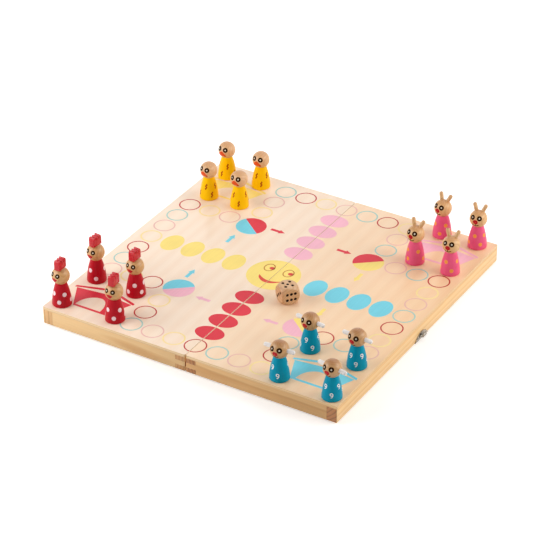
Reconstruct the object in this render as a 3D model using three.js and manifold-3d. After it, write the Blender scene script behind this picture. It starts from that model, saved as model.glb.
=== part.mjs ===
// Ludo game in a folding wooden case, lying open as its own board, with animal pawns and a die.
// Millimetres, +Z up. The seam runs along Y, and the camera side of the board is -Y.
import * as THREE from 'three';
import { mergeVertices } from 'three/addons/utils/BufferGeometryUtils.js';
import Module from 'manifold-3d';

const wasm = await Module();
wasm.setup();

// Case: two shallow trays, each of five boards, lying with the openings down
const boardSide = 300;
const seamGap = 1;
const wallThickness = 10;
const wallHeight = 14;
const panelThickness = 3;
const panelCornerRadius = 2;
const panelBevel = 0.3;
const wallCornerRadius = 1;
const fingerCount = 3;
const closedGap = 0.3;

// Butt hinges let into the seam walls
const hingePlaceShares = [-0.32, 0.32];
const leafLength = 30;
const leafHeight = 9;
const leafThickness = 0.8;
const leafProud = 0.2;
const mortiseClearance = 0.1;
const knuckleRadius = 1.25;
const knuckleClearance = 0.3;
const knuckleGap = 0.2;
const knuckleCount = 5;
const hingePinRadius = 0.6;
const pinClearance = 0.2;

// Latch: a catch plate with a hook on the right case, a hasp on the left case
const latchPlateLength = 24;
const latchPlateRise = 7;
const latchPlateThickness = 0.8;
const latchEdgeGap = 0.3;
const nailInset = 2.8;
const nailRise = 1.5;
const nailHeadRadius = 1.1;
const nailHeadHeight = 0.6;
const hookWidth = 5.6;
const hookRise = 2.7;
const hookHeight = 4;
const hookReach = 3.5;
const hookThickness = 0.8;
const hookInnerRadius = 0.5;
const barrelRadius = 1.3;
const barrelSeat = 0.6;
const barrelRise = 1.6;
const haspPinRadius = 0.55;
const barrelClearance = 0.3;
const sideBarrelLength = 3;
const tongueBarrelLength = 6;
const barrelGap = 0.2;
const tongueThickness = 0.8;
const tongueNeck = 2.1;
const tongueCornerRadius = 2.4;
const slotPlayBelow = 0.1;
const slotPlayAbove = 1.1;
const slotPlayAside = 0.4;
const slotBarAside = 1.4;
const slotBarBeyond = 1.8;

// Pawns: one turned piece each, body and ball head
const footRadius = 9;
const footRounding = 0.7;
const neckRadius = 4.9;
const bodyBulge = 1.8;
const headRadius = 8.2;
const headHeight = 29.2;
const combFlatDepth = 0.7;
const combLength = 10.6;
const combThickness = 5.7;
const combHeight = 9.5;
const combToothDepth = 2.7;
const combToothWidth = 1.5;
const combEdgeRadius = 0.9;
const rabbitEar = {
  radius: 1.8, length: 7.2, outwardDegrees: 23, backwardDegrees: 18, side: 3.6, back: 2.6,
};
const sheepEar = {
  radius: 1.9, length: 6.9, outwardDegrees: 90, backwardDegrees: 3, side: 0, back: 0.4,
};
const earDepth = 3;
const earClearance = 0.12;
const sheepEarRise = 0.6;

// Die: a cube cut by a ball, with drilled pips
const dieSide = 17;
const dieBallOversize = 6;
const pipRadius = 1.5;
const pipDepth = 0.6;
const pipSpreadShare = 0.194;
const sixSpreadShare = 0.2235;
const sixRowShare = 0.165;
const diePlaceShares = [0.1057, -0.1024];
const dieTurnDegrees = 53.5;

// Clearance under everything that only stands on the board
const restGap = 0.05;

// How far a cut runs past what it cuts
const overrun = 1;

// Facets round a turned pawn, a peg, a pip, a hinge barrel and a ball cut
const pawnFacets = 16;
const pegFacets = 10;
const pipFacets = 8;
const barrelFacets = 16;
const ballFacets = 24;
const cornerFacets = 3;

// Place of each pawn as shares of the board's side, and its turn in degrees
const pawnPlaceShares = {
  hen: [[-0.460, -0.456], [-0.446, -0.295], [-0.301, -0.301], [-0.277, -0.447]],
  duck: [[-0.418, 0.294], [-0.437, 0.433], [-0.311, 0.435], [-0.306, 0.295]],
  rabbit: [[0.326, 0.285], [0.326, 0.463], [0.448, 0.462], [0.446, 0.285]],
  sheep: [[0.290, -0.459], [0.293, -0.292], [0.449, -0.296], [0.464, -0.465]],
};
const pawnTurnDegrees = {
  hen: [2, -5, -3, 6],
  duck: [1, -1, 8, 5],
  rabbit: [-5, -8, 6, 6],
  sheep: [1, -7, -5, -9],
};

// Heights and edges that follow from the sizes above
const axisHeight = knuckleRadius;
const rimHeight = axisHeight + closedGap / 2;
const panelHeight = rimHeight + wallHeight;
const boardHeight = panelHeight + panelThickness;
const outerEdge = boardSide / 2;
const seamFace = seamGap / 2;
const seamWallBack = seamFace + wallThickness;
const outerWallFront = outerEdge - wallThickness;
const mortiseDepth = leafThickness - leafProud;
const hingeBoreRadius = hingePinRadius + pinClearance;

// Latch: the hasp's slot fits round the hook when the case is shut
const latchBase = rimHeight + latchEdgeGap;
const latchFace = outerEdge + latchPlateThickness;
const hookRadius = hookInnerRadius + hookThickness;
const hookFloor = rimHeight + hookRise;
const barrelBoreRadius = haspPinRadius + pinClearance;
const barrelAxis = latchFace + barrelRadius - barrelSeat;
const barrelHeight = rimHeight + barrelRise;
const shutBarrelHeight = 2 * axisHeight - barrelHeight;
const slotStart = hookFloor - shutBarrelHeight - slotPlayBelow;
const slotEnd = slotStart + slotPlayBelow + hookHeight + slotPlayAbove;
const slotWidth = hookWidth + 2 * slotPlayAside;
const tongueWidth = slotWidth + 2 * slotBarAside;
const tongueReach = slotEnd + slotBarBeyond;
const tongueCorner = Math.hypot(tongueReach, tongueThickness / 2);
const tongueDroop = Math.asin((barrelHeight - restGap) / tongueCorner)
  - Math.atan2(tongueThickness / 2, tongueReach);

// Shift that puts the middle of the whole object at the origin
const leftReach = barrelAxis + tongueReach * Math.cos(tongueDroop);
const rightReach = latchFace + hookReach;
const middleShift = (leftReach - rightReach) / 2;

// Pawns and die: heights over the board, and spreads of the pips
const neckHeight = headHeight - Math.sqrt(headRadius ** 2 - neckRadius ** 2);
const combSeat = headRadius - combFlatDepth;
const pipSpread = pipSpreadShare * dieSide;
const sixSpread = sixSpreadShare * dieSide;
const sixRowSpread = sixRowShare * dieSide;

// Colours and surfaces
const surfaces = {
  pine: { color: 0xd9ae74, roughness: 0.6, metalness: 0 },
  plywood: { color: 0xf3dcbc, roughness: 0.5, metalness: 0 },
  nickel: { color: 0xb9b6ae, roughness: 0.3, metalness: 1 },
  steel: { color: 0x8f8f8c, roughness: 0.35, metalness: 1 },
  beech: { color: 0xd6b184, roughness: 0.55, metalness: 0 },
  hen: { color: 0xb01e2c, roughness: 0.35, metalness: 0 },
  comb: { color: 0xc8303a, roughness: 0.4, metalness: 0 },
  duck: { color: 0xffc400, roughness: 0.35, metalness: 0 },
  rabbit: { color: 0xe0508a, roughness: 0.35, metalness: 0 },
  sheep: { color: 0x0e86a0, roughness: 0.35, metalness: 0 },
  white: { color: 0xf2f0ec, roughness: 0.4, metalness: 0 },
};

const board = new THREE.Group();
board.name = 'ludo_game';

function rad(degrees) {
  return THREE.MathUtils.degToRad(degrees);
}

// Adds a closed solid to the object under its own name
function add(name, geometry, surface) {
  const solid = geometry.clone();
  solid.deleteAttribute('normal');
  solid.deleteAttribute('uv');
  const closed = mergeVertices(solid);
  closed.translate(middleShift, 0, 0);
  closed.computeVertexNormals();
  const mesh = new THREE.Mesh(closed, new THREE.MeshStandardMaterial(surfaces[surface]));
  mesh.name = name;
  board.add(mesh);
}

// Turns a closed geometry into a solid for cuts and joins
function solidOf(geometry) {
  const bare = geometry.clone();
  bare.deleteAttribute('normal');
  bare.deleteAttribute('uv');
  const merged = mergeVertices(bare);
  return new wasm.Manifold(new wasm.Mesh({
    numProp: 3,
    vertProperties: new Float32Array(merged.attributes.position.array),
    triVerts: new Uint32Array(merged.index.array),
  }));
}

function geometryOf(solid) {
  const mesh = solid.getMesh();
  const geometry = new THREE.BufferGeometry();
  geometry.setAttribute('position', new THREE.BufferAttribute(mesh.vertProperties, mesh.numProp));
  geometry.setIndex(new THREE.BufferAttribute(mesh.triVerts, 1));
  return geometry;
}

function block(low, high) {
  const size = high.map((value, axis) => value - low[axis]);
  const geometry = new THREE.BoxGeometry(...size);
  return geometry.translate(...low.map((value, axis) => value + size[axis] / 2));
}

// A cylinder along Y between two stations
function rod(radius, x, z, low, high, facets) {
  const geometry = new THREE.CylinderGeometry(radius, radius, high - low, facets);
  return geometry.translate(x, (low + high) / 2, z);
}

// A rectangle in plan, with its own radius at each corner
function roundedPlan(x0, x1, y0, y1, leftRadius, rightRadius) {
  const plan = new THREE.Shape();
  const corners = [
    [x1, y0, rightRadius, -Math.PI / 2, x1 - rightRadius, y0 + rightRadius],
    [x1, y1, rightRadius, 0, x1 - rightRadius, y1 - rightRadius],
    [x0, y1, leftRadius, Math.PI / 2, x0 + leftRadius, y1 - leftRadius],
    [x0, y0, leftRadius, Math.PI, x0 + leftRadius, y0 + leftRadius],
  ];
  corners.forEach(([x, y, radius, start, centreX, centreY], index) => {
    if (radius > 0) {
      plan.absarc(centreX, centreY, radius, start, start + Math.PI / 2, false);
    } else if (index === 0) {
      plan.moveTo(x, y);
    } else {
      plan.lineTo(x, y);
    }
  });
  return plan;
}

// Extrudes a plan upward from one height to another
function upright(plan, low, high, bevel = 0) {
  const geometry = new THREE.ExtrudeGeometry(plan, {
    depth: high - low - 2 * bevel,
    bevelEnabled: bevel > 0,
    bevelThickness: bevel,
    bevelSize: bevel,
    bevelOffset: -bevel,
    bevelSegments: 1,
    curveSegments: cornerFacets,
  });
  return geometry.translate(0, 0, low + bevel);
}

// Extrudes an outline drawn in Y and Z along X
function alongX(outline, low, high, facets = cornerFacets) {
  const geometry = new THREE.ExtrudeGeometry(outline, {
    depth: high - low,
    bevelEnabled: false,
    curveSegments: facets,
  });
  const turn = new THREE.Matrix4().makeBasis(
    new THREE.Vector3(0, 1, 0),
    new THREE.Vector3(0, 0, 1),
    new THREE.Vector3(1, 0, 0),
  );
  return geometry.applyMatrix4(turn).translate(low, 0, 0);
}

// Extrudes an outline drawn in X and Z along Y
function alongY(outline, low, high, facets = cornerFacets) {
  const geometry = new THREE.ExtrudeGeometry(outline, {
    depth: high - low,
    bevelEnabled: false,
    curveSegments: facets,
  });
  return geometry.rotateX(Math.PI / 2).translate(0, high, 0);
}

function polygon(points) {
  return new THREE.Shape(points.map(([u, v]) => new THREE.Vector2(u, v)));
}

// Wall with a middle finger that enters the seam wall
function endWall(side) {
  const finger = wallHeight / fingerCount;
  const low = rimHeight + finger;
  const high = panelHeight - finger;
  const outline = polygon([
    [seamWallBack, rimHeight], [outerWallFront, rimHeight],
    [outerWallFront, panelHeight], [seamWallBack, panelHeight],
    [seamWallBack, high], [seamFace, high], [seamFace, low], [seamWallBack, low],
  ]);
  const inner = side * outerWallFront;
  const outer = side * outerEdge;
  return alongY(outline, Math.min(inner, outer), Math.max(inner, outer));
}

// Seam wall with two fingers at each end, mortised for the hinges
function seamWall() {
  const finger = wallHeight / fingerCount;
  const low = rimHeight + finger;
  const high = panelHeight - finger;
  const long = outerEdge;
  const short = outerWallFront;
  const outline = polygon([
    [-long, rimHeight], [long, rimHeight], [long, low], [short, low],
    [short, high], [long, high], [long, panelHeight], [-long, panelHeight],
    [-long, high], [-short, high], [-short, low], [-long, low],
  ]);
  let wall = solidOf(alongX(outline, seamFace, seamWallBack));
  for (const share of hingePlaceShares) {
    wall = wall.subtract(hingeMortise(share * boardSide));
  }
  return geometryOf(wall);
}

// Recess for one leaf and for the barrel along its edge
function hingeMortise(middle) {
  const half = leafLength / 2 + mortiseClearance;
  const pocket = block(
    [seamFace - overrun, middle - half, rimHeight - overrun],
    [seamFace + mortiseDepth, middle + half, axisHeight + leafHeight + mortiseClearance],
  );
  const radius = knuckleRadius + knuckleClearance;
  const groove = rod(radius, 0, axisHeight, middle - half, middle + half, barrelFacets);
  return solidOf(pocket).add(solidOf(groove));
}

function addCase(side, turn) {
  const parts = {
    front_wall: endWall(-1),
    back_wall: endWall(1),
    outer_wall: upright(
      roundedPlan(outerWallFront, outerEdge, -outerEdge, outerEdge, 0, wallCornerRadius),
      rimHeight,
      panelHeight,
    ),
    seam_wall: seamWall(),
    top_panel: upright(
      roundedPlan(seamFace, outerEdge, -outerEdge, outerEdge, panelCornerRadius, wallCornerRadius),
      panelHeight,
      boardHeight,
      panelBevel,
    ),
  };
  const names = turn === 0 ? {} : { front_wall: 'back_wall', back_wall: 'front_wall' };
  for (const [part, geometry] of Object.entries(parts)) {
    const surface = part === 'top_panel' ? 'plywood' : 'pine';
    add(`${side}_${names[part] ?? part}`, geometry.rotateZ(turn), surface);
  }
}

// One leaf with its share of the knuckles, on the +X side of the hinge's axis
function hingeLeaf(middle, own) {
  const back = seamFace + mortiseDepth;
  const pitch = leafLength / knuckleCount;
  const start = middle - leafLength / 2;
  let leaf = solidOf(block(
    [back - leafThickness, start, axisHeight],
    [back, start + leafLength, axisHeight + leafHeight],
  ));
  for (let index = 0; index < knuckleCount; index += 1) {
    const low = start + index * pitch;
    const mine = index % 2 === own;
    const spread = mine ? -knuckleGap / 2 : knuckleGap / 2;
    const radius = mine ? knuckleRadius : knuckleRadius + knuckleClearance;
    const from = index === 0 && mine ? low : low - spread;
    const to = index === knuckleCount - 1 && mine ? low + pitch : low + pitch + spread;
    const knuckle = solidOf(rod(radius, 0, axisHeight, from, to, barrelFacets));
    leaf = mine ? leaf.add(knuckle) : leaf.subtract(knuckle);
  }
  const bore = rod(
    hingeBoreRadius, 0, axisHeight, start - overrun, start + leafLength + overrun, barrelFacets,
  );
  return geometryOf(leaf.subtract(solidOf(bore)));
}

function addHinge(name, share) {
  const middle = share * boardSide;
  add(`${name}_leaf_right`, hingeLeaf(middle, 0), 'nickel');
  add(`${name}_leaf_left`, hingeLeaf(-middle, 1).rotateZ(Math.PI), 'nickel');
  const half = leafLength / 2;
  add(`${name}_pin`, rod(hingePinRadius, 0, axisHeight, middle - half, middle + half, pegFacets), 'steel');
}

// Half of a pointed oval, straight along the rim
function latchOutline() {
  const half = latchPlateLength / 2;
  const outline = new THREE.Shape();
  outline.moveTo(-half, latchBase);
  outline.lineTo(half, latchBase);
  outline.quadraticCurveTo(0, latchBase + 2 * latchPlateRise, -half, latchBase);
  return outline;
}

// Plate with its two domed nail heads, on the +X face
function latchPlate() {
  let plate = solidOf(alongX(latchOutline(), outerEdge, latchFace, pegFacets));
  for (const side of [-1, 1]) {
    const head = new THREE.SphereGeometry(nailHeadRadius, pegFacets, pegFacets / 2);
    head.scale(nailHeadHeight / nailHeadRadius, 1, 1);
    head.translate(latchFace, side * (latchPlateLength / 2 - nailInset), latchBase + nailRise);
    const outside = block(
      [outerEdge + latchPlateThickness / 2, -outerEdge, 0],
      [latchFace + hookReach, outerEdge, boardHeight],
    );
    plate = plate.add(solidOf(head).intersect(solidOf(outside)));
  }
  return plate;
}

// Hook that opens away from the rim
function hook() {
  const inner = outerEdge + latchPlateThickness / 2;
  const outer = rightReach;
  const low = hookFloor;
  const high = low + hookHeight;
  const outline = new THREE.Shape();
  outline.moveTo(inner, low);
  outline.lineTo(outer - hookRadius, low);
  outline.absarc(outer - hookRadius, low + hookRadius, hookRadius, -Math.PI / 2, 0, false);
  outline.lineTo(outer, high - hookThickness / 2);
  outline.absarc(
    outer - hookThickness / 2, high - hookThickness / 2, hookThickness / 2, 0, Math.PI, false,
  );
  outline.lineTo(outer - hookThickness, low + hookRadius);
  outline.absarc(outer - hookRadius, low + hookRadius, hookInnerRadius, 0, -Math.PI / 2, true);
  outline.lineTo(inner, low + hookThickness);
  return alongY(outline, -hookWidth / 2, hookWidth / 2, pegFacets / 2);
}

function catchPlate() {
  return geometryOf(latchPlate().add(solidOf(hook())));
}

// Hasp plate on the +X face: two barrels, with room between them for the tongue's
function haspPlate() {
  const near = tongueBarrelLength / 2 + barrelGap;
  const far = near + sideBarrelLength;
  const room = rod(barrelRadius + barrelClearance, barrelAxis, barrelHeight, -near, near, barrelFacets);
  let plate = latchPlate().subtract(solidOf(room));
  for (const side of [-1, 1]) {
    const low = Math.min(side * near, side * far);
    const high = Math.max(side * near, side * far);
    const barrel = rod(barrelRadius, barrelAxis, barrelHeight, low, high, barrelFacets);
    plate = plate.add(solidOf(barrel));
  }
  const bore = rod(barrelBoreRadius, barrelAxis, barrelHeight, -far - overrun, far + overrun, barrelFacets);
  return geometryOf(plate.subtract(solidOf(bore)));
}

// Tongue with its slot, pointing along +X from the barrel's axis at the origin
function haspTongue() {
  const neck = tongueBarrelLength / 2;
  const half = tongueWidth / 2;
  const plan = new THREE.Shape();
  plan.moveTo(0, -neck);
  plan.lineTo(tongueNeck, -neck);
  plan.lineTo(slotStart - tongueThickness, -half);
  plan.lineTo(tongueReach - tongueCornerRadius, -half);
  plan.absarc(
    tongueReach - tongueCornerRadius, -half + tongueCornerRadius, tongueCornerRadius, -Math.PI / 2, 0, false,
  );
  plan.absarc(
    tongueReach - tongueCornerRadius, half - tongueCornerRadius, tongueCornerRadius, 0, Math.PI / 2, false,
  );
  plan.lineTo(slotStart - tongueThickness, half);
  plan.lineTo(tongueNeck, neck);
  plan.lineTo(0, neck);
  plan.holes.push(roundedPlan(slotStart, slotEnd, -slotWidth / 2, slotWidth / 2, 0, 0));
  const flat = upright(plan, -tongueThickness / 2, tongueThickness / 2);
  const barrel = rod(barrelRadius, 0, 0, -neck, neck, barrelFacets);
  const bore = rod(barrelBoreRadius, 0, 0, -neck - overrun, neck + overrun, barrelFacets);
  const tongue = solidOf(flat).add(solidOf(barrel)).subtract(solidOf(bore));
  return geometryOf(tongue).rotateY(tongueDroop).translate(barrelAxis, 0, barrelHeight);
}

function addLatch() {
  const half = tongueBarrelLength / 2 + barrelGap + sideBarrelLength;
  const pin = rod(haspPinRadius, barrelAxis, barrelHeight, -half, half, pegFacets);
  add('catch_plate', catchPlate(), 'nickel');
  add('hasp_plate', haspPlate().rotateZ(Math.PI), 'nickel');
  add('hasp_tongue', haspTongue().rotateZ(Math.PI), 'nickel');
  add('hasp_pin', pin.rotateZ(Math.PI), 'steel');
}

// Profile of a turned pawn, from the middle of its foot to the top of its head
function pawnProfile(seat) {
  const points = [new THREE.Vector2(0, 0), new THREE.Vector2(footRadius - footRounding, 0)];
  const steps = 5;
  for (let step = 0; step <= steps; step += 1) {
    const share = step / steps;
    const radius = footRadius - (footRadius - neckRadius) * share ** bodyBulge;
    points.push(new THREE.Vector2(radius, footRounding + (neckHeight - footRounding) * share));
  }
  const start = -Math.acos(neckRadius / headRadius);
  const end = seat > 0 ? Math.asin(seat / headRadius) : Math.PI / 2;
  const turns = 8;
  for (let turn = 1; turn <= turns; turn += 1) {
    const angle = start + (end - start) * turn / turns;
    const radius = turn === turns && seat === 0 ? 0 : headRadius * Math.cos(angle);
    points.push(new THREE.Vector2(radius, headHeight + headRadius * Math.sin(angle)));
  }
  if (seat > 0) {
    points.push(new THREE.Vector2(0, headHeight + seat));
  }
  return points;
}

function turnedPawn(seat = 0) {
  return new THREE.LatheGeometry(pawnProfile(seat), pawnFacets).rotateX(Math.PI / 2);
}

// Comb with three rounded teeth in a row, standing on the flat of the head
function comb() {
  const half = combLength / 2;
  const valley = combHeight - combToothDepth;
  const peaks = [-half + combToothWidth / 2, 0, half - combToothWidth / 2];
  const outline = new THREE.Shape();
  outline.moveTo(-half, 0);
  outline.lineTo(half, 0);
  outline.lineTo(half, combHeight - combEdgeRadius);
  outline.quadraticCurveTo(half, combHeight, peaks[2], combHeight);
  for (const index of [2, 1]) {
    const middle = (peaks[index] + peaks[index - 1]) / 2;
    outline.quadraticCurveTo(middle + combToothWidth / 2, combHeight, middle, valley);
    if (index === 2) {
      outline.quadraticCurveTo(middle - combToothWidth / 2, combHeight, 0, combHeight);
    } else {
      outline.quadraticCurveTo(middle - combToothWidth / 2, combHeight, peaks[0], combHeight);
    }
  }
  outline.quadraticCurveTo(-half, combHeight, -half, combHeight - combEdgeRadius);
  return alongX(outline, -combThickness / 2, combThickness / 2)
    .translate(0, 0, headHeight + combSeat + restGap);
}

// Peg with a rounded tip, along +Y from its root at the origin
function peg(radius, length, root) {
  const points = [new THREE.Vector2(0, -root), new THREE.Vector2(radius, -root)];
  const turns = 3;
  for (let turn = 0; turn <= turns; turn += 1) {
    const angle = turn / turns * Math.PI / 2;
    const across = turn === turns ? 0 : radius * Math.cos(angle);
    points.push(new THREE.Vector2(across, length - radius + radius * Math.sin(angle)));
  }
  return new THREE.LatheGeometry(points, pegFacets);
}

// Lays a peg, or the hole for it, along the ear's direction on one side of the head
function onHead(geometry, ear, rise, side) {
  const across = Math.sin(rad(ear.outwardDegrees));
  const upward = Math.cos(rad(ear.outwardDegrees));
  const direction = new THREE.Vector3(
    side * across, Math.sin(rad(ear.backwardDegrees)), upward,
  ).normalize();
  const offset = new THREE.Vector3(side * ear.side, ear.back, rise);
  const along = offset.dot(direction);
  const reach = Math.sqrt(along ** 2 - offset.lengthSq() + headRadius ** 2) - along;
  const turn = new THREE.Quaternion().setFromUnitVectors(new THREE.Vector3(0, 1, 0), direction);
  const place = offset.addScaledVector(direction, reach);
  place.z += headHeight;
  return geometry.applyQuaternion(turn).translate(place.x, place.y, place.z);
}

// Stands a piece on the board at its shares of the side, turned about the vertical
function place(geometry, [x, y], turn) {
  return geometry.rotateZ(rad(turn)).translate(x * boardSide, y * boardSide, boardHeight + restGap);
}

function placePawn(geometry, animal, index) {
  return place(geometry, pawnPlaceShares[animal][index], pawnTurnDegrees[animal][index]);
}

function addEaredPawns(animal, ear, rise, earSurface) {
  pawnPlaceShares[animal].forEach((shares, index) => {
    const name = `${animal}_${index + 1}`;
    let pawn = solidOf(turnedPawn());
    for (const [label, side] of [['right', 1], ['left', -1]]) {
      const hole = peg(ear.radius + earClearance, ear.length, earDepth + earClearance);
      pawn = pawn.subtract(solidOf(onHead(hole, ear, rise, side)));
      const shown = onHead(peg(ear.radius, ear.length, earDepth), ear, rise, side);
      add(`${name}_ear_${label}`, placePawn(shown, animal, index), earSurface);
    }
    add(name, placePawn(geometryOf(pawn), animal, index), animal);
  });
}

function addPawns() {
  pawnPlaceShares.hen.forEach((shares, index) => {
    add(`hen_${index + 1}`, placePawn(turnedPawn(combSeat), 'hen', index), 'hen');
    add(`hen_${index + 1}_comb`, placePawn(comb(), 'hen', index), 'comb');
  });
  pawnPlaceShares.duck.forEach((shares, index) => {
    add(`duck_${index + 1}`, placePawn(turnedPawn(), 'duck', index), 'duck');
  });
  addEaredPawns('rabbit', rabbitEar, headRadius, 'beech');
  addEaredPawns('sheep', sheepEar, sheepEarRise, 'white');
}

// Pip places on each face, opposite faces adding up to seven
function pipPlaces() {
  const corners = [[-1, -1], [-1, 1], [1, -1], [1, 1]].map(([u, v]) => [u * pipSpread, v * pipSpread]);
  const slant = [[-pipSpread, pipSpread], [pipSpread, -pipSpread]];
  const rows = [-1, 0, 1].flatMap((u) => [-1, 1].map((v) => [u * sixSpread, v * sixRowSpread]));
  return [
    { axis: 'z', sign: 1, pips: [...corners, [0, 0]] },
    { axis: 'z', sign: -1, pips: slant },
    { axis: 'y', sign: -1, pips: rows },
    { axis: 'y', sign: 1, pips: [[0, 0]] },
    { axis: 'x', sign: -1, pips: [...slant, [0, 0]] },
    { axis: 'x', sign: 1, pips: corners },
  ];
}

function pip(axis, sign, [u, v]) {
  const ball = new THREE.SphereGeometry(pipRadius, pipFacets, pipFacets / 2);
  const depth = sign * (dieSide / 2 + pipRadius - pipDepth);
  const centre = { x: [depth, u, v], y: [u, depth, v], z: [u, v, depth] }[axis];
  return solidOf(ball.translate(...centre));
}

function die() {
  const half = dieSide / 2;
  const cube = solidOf(block([-half, -half, -half], [half, half, half]));
  const ballRadius = (dieSide + dieBallOversize) / 2;
  const ball = solidOf(new THREE.SphereGeometry(ballRadius, ballFacets, ballFacets / 2));
  let body = cube.intersect(ball);
  for (const { axis, sign, pips } of pipPlaces()) {
    for (const spot of pips) {
      body = body.subtract(pip(axis, sign, spot));
    }
  }
  return geometryOf(body).translate(0, 0, half);
}

addCase('right', 0);
addCase('left', Math.PI);
addHinge('hinge_front', hingePlaceShares[0]);
addHinge('hinge_back', hingePlaceShares[1]);
addLatch();
addPawns();
add('die', place(die(), diePlaceShares, dieTurnDegrees), 'beech');

export default board;
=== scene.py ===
from functools import partial
from math import asin, cos, pi, radians, sin, sqrt

import bmesh
import bpy
from mathutils import Matrix, Vector


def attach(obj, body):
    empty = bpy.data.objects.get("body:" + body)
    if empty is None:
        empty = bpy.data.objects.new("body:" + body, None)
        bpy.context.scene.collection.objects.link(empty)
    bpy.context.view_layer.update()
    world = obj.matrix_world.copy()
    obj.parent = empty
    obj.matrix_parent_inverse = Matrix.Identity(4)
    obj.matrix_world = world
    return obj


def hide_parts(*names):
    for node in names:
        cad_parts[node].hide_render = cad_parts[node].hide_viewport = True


# Everything new is drawn in millimetres around the origin, and settle() puts it in its place in metres
mm = 0.001
level = 0.01               # points nearer than this are at one height, or one point
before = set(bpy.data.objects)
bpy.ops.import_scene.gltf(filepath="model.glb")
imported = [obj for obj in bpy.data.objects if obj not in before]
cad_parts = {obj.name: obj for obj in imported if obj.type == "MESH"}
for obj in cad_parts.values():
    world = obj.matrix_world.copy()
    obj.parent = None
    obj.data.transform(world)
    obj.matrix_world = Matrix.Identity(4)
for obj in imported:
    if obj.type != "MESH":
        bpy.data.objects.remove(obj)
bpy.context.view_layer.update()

board = {
    "half": 150,           # from the seam to the outer edge
    "middle": 4.2057,      # the seam's place along X, which the latch sets off centre
    "seamFace": 0.23,      # half the gap between the two panels
    "panelBottom": 15.4,
    "top": 18.4,
}


def deselectAll():
    bpy.ops.object.select_all(action="DESELECT")


def takeUp(piece):
    deselectAll()
    piece.select_set(True)
    bpy.context.view_layer.objects.active = piece


def named(name):
    # names the piece in hand and takes its place, turn and scale into its mesh
    piece = bpy.context.object
    bpy.ops.object.transform_apply()
    piece.name = name
    piece.data.name = name
    return piece


def newPiece(make, name, scale=(1, 1, 1), **settings):
    deselectAll()
    make(**settings)
    bpy.context.object.scale = scale
    return named(name)


def move(piece, matrix):
    piece.data.transform(matrix)


def paint(piece, *materials):
    for material in materials:
        piece.data.materials.append(material)


def fit(piece, body, node=None):
    # the body that it rides on, and the CAD piece whose place it takes
    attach(piece, body)
    if node:
        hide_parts(node)


def copyOf(piece, name):
    twin = piece.copy()
    twin.data = piece.data.copy()
    twin.name = name
    twin.data.name = name
    bpy.context.collection.objects.link(twin)
    return twin


def joined(pieces, name):
    takeUp(pieces[0])
    for piece in pieces:
        piece.select_set(True)
    bpy.ops.object.join()
    return named(name)


def discard(piece):
    mesh = piece.data
    bpy.data.objects.remove(piece)
    bpy.data.meshes.remove(mesh)


def shape(piece, kind="FACE"):
    # into edit mode, with everything selected
    takeUp(piece)
    bpy.ops.object.mode_set(mode="EDIT")
    bpy.ops.mesh.select_mode(type=kind)
    bpy.ops.mesh.select_all(action="SELECT")


def done():
    bpy.ops.object.mode_set(mode="OBJECT")


def roundEdges(piece, wanted, radius, segments):
    # in edit mode, rounds the edges that are wanted
    bpy.ops.mesh.select_all(action="DESELECT")
    mesh = bmesh.from_edit_mesh(piece.data)
    for edge in mesh.edges:
        if wanted(*[vertex.co for vertex in edge.verts]):
            edge.select_set(True)
    mesh.select_flush_mode()
    bmesh.update_edit_mesh(piece.data)
    bpy.ops.mesh.bevel(offset=radius, segments=segments, affect="EDGES")


def mend(piece, degrees):
    # one point where several meet, and one face where faces lie within so many degrees
    shape(piece)
    bpy.ops.mesh.remove_doubles(threshold=0.002)
    bpy.ops.mesh.dissolve_limited(angle_limit=radians(degrees))
    done()


def finishWith(piece, kind, **settings):
    takeUp(piece)
    modifier = piece.modifiers.new(kind, kind)
    for setting, value in settings.items():
        setattr(modifier, setting, value)
    bpy.ops.object.modifier_apply(modifier=modifier.name)


def combine(piece, operation, other):
    finishWith(piece, "BOOLEAN", operation=operation, object=other, solver="EXACT")
    discard(other)


def smoothed(piece, degrees=35):
    takeUp(piece)
    bpy.ops.object.shade_smooth_by_angle(angle=radians(degrees))


def shifted(across=0, along=0, up=0):
    return Matrix.Translation((across, along, up))


def spun(degrees, axis="Z"):
    return Matrix.Rotation(radians(degrees), 4, axis)


def settle(piece, at=(0, 0, 0), turn=0):
    # at is in millimetres on the object's own axes, turn in degrees about the vertical
    move(piece, Matrix.Scale(mm, 4) @ shifted(*at) @ spun(turn))


def softCopy(node, ending, width, material, body):
    # a CAD piece once more and in the same place, with its sharp edges broken
    piece = copyOf(bpy.data.objects[node], node + ending)
    piece.parent = None
    piece.matrix_world = Matrix.Identity(4)
    move(piece, Matrix.Scale(1 / mm, 4))
    mend(piece, 0.6)
    finishWith(piece, "BEVEL", width=width, segments=2, limit_method="ANGLE", angle_limit=radians(38))
    smoothed(piece)
    settle(piece)
    piece.data.materials.clear()
    paint(piece, material)
    fit(piece, body, node)


# Materials

def colour(code):
    # sRGB hex to linear
    parts = [int(code[index:index + 2], 16) / 255 for index in (1, 3, 5)]
    line = [part / 12.92 if part <= 0.04045 else ((part + 0.055) / 1.055) ** 2.4 for part in parts]
    return (*line, 1)


def addNode(tree, kind, inputs=None, **settings):
    # an input is a value, a socket, or a node, which stands for its first output in use
    node = tree.nodes.new("ShaderNode" + kind)
    for setting, value in settings.items():
        setattr(node, setting, value)
    for socket, value in (inputs or {}).items():
        if isinstance(value, bpy.types.Node):
            value = next(output for output in value.outputs if output.enabled)
        if isinstance(value, bpy.types.NodeSocket):
            tree.links.new(value, node.inputs[socket])
        else:
            node.inputs[socket].default_value = value
    return node


def withStops(node, *stops):
    elements = node.color_ramp.elements
    while len(elements) < len(stops):
        elements.new(0.5)
    for element, (place, code) in zip(elements, stops):
        element.position = place
        element.color = colour(code)
    return node


def ringScale(millimetres):
    # the Wave texture draws one ring every 0.314 m at scale 1
    return 2 * pi / 20 / (millimetres * mm)


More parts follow.
